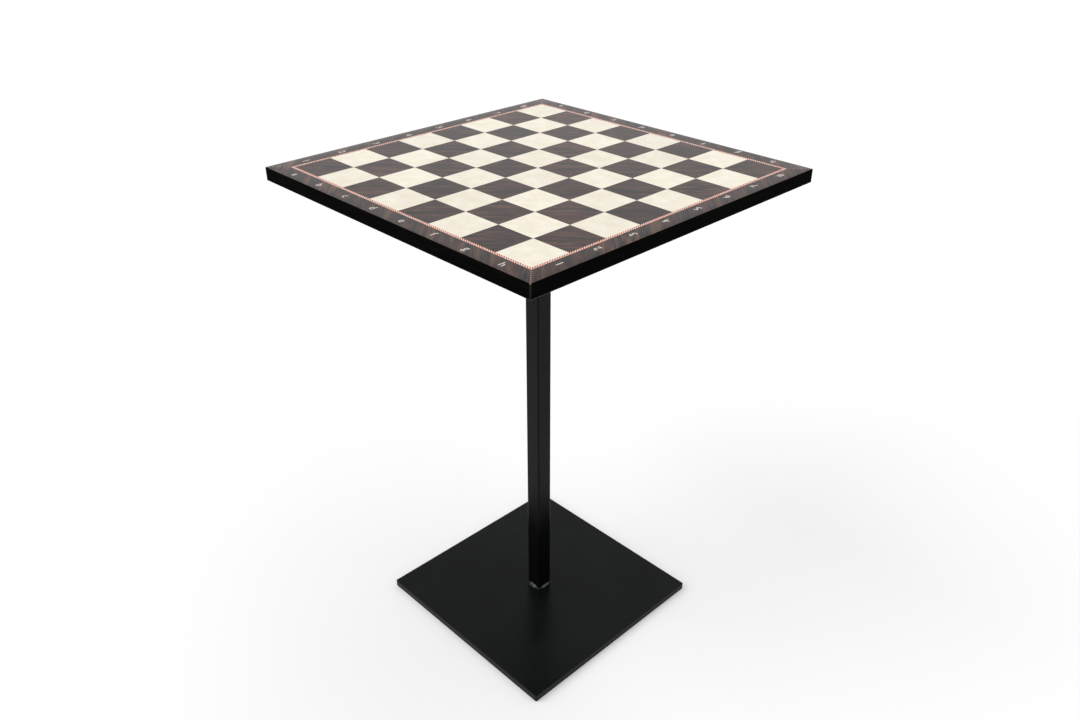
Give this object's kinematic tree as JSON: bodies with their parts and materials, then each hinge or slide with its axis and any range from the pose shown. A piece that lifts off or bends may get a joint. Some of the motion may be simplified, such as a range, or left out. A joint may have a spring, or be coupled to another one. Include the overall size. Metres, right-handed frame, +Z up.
{
  "type": "chess table",
  "caption": "Square chess table: glossy inlaid board with a rope-patterned line and mitred border, on a slim square post welded to a flat square base plate.",
  "frame": {"origin": "floor level, on the axis of the post", "axes": "+Z up; +X along the files from a to h; +Y along the ranks from 1 to 8, so White sits at -Y"},
  "size_m": [0.4456, 0.4456, 0.641],
  "materials": {
    "stand_coating": "satin charcoal powder coat",
    "pad_rubber": "matte",
    "screw_zinc": "zinc plated",
    "core_board": "raw",
    "backing_veneer": "satin lacquer over dark veneer",
    "edge_lacquer": "black high-gloss lacquer",
    "border_veneer": "high-gloss lacquer over dark walnut",
    "rope_banding": "high-gloss lacquer over banding",
    "light_veneer": "high-gloss lacquer over maple",
    "dark_veneer": "high-gloss lacquer over dark walnut"
  },
  "bodies": {
    "root": {"base_plate": "stand_coating", "foot_pads": "pad_rubber", "post": "stand_coating", "foot_weld": "stand_coating", "head_plate": "stand_coating", "head_weld": "stand_coating", "board_screws": "screw_zinc", "core_panel": "core_board", "backing_veneer": "backing_veneer", "edge_lipping_front": "edge_lacquer", "edge_lipping_right": "edge_lacquer", "edge_lipping_back": "edge_lacquer", "edge_lipping_left": "edge_lacquer", "border_veneer_front": "border_veneer", "border_veneer_right": "border_veneer", "border_veneer_back": "border_veneer", "border_veneer_left": "border_veneer", "rope_line_front": "rope_banding", "rope_line_right": "rope_banding", "rope_line_back": "rope_banding", "rope_line_left": "rope_banding", "mitre_line_front_left": "rope_banding", "mitre_line_front_right": "rope_banding", "mitre_line_back_right": "rope_banding", "mitre_line_back_left": "rope_banding", "light_squares_rank_1": "light_veneer", "light_squares_rank_2": "light_veneer", "light_squares_rank_3": "light_veneer", "light_squares_rank_4": "light_veneer", "light_squares_rank_5": "light_veneer", "light_squares_rank_6": "light_veneer", "light_squares_rank_7": "light_veneer", "light_squares_rank_8": "light_veneer", "dark_squares_rank_1": "dark_veneer", "dark_squares_rank_2": "dark_veneer", "dark_squares_rank_3": "dark_veneer", "dark_squares_rank_4": "dark_veneer", "dark_squares_rank_5": "dark_veneer", "dark_squares_rank_6": "dark_veneer", "dark_squares_rank_7": "dark_veneer", "dark_squares_rank_8": "dark_veneer"}
  },
  "joints": []
}
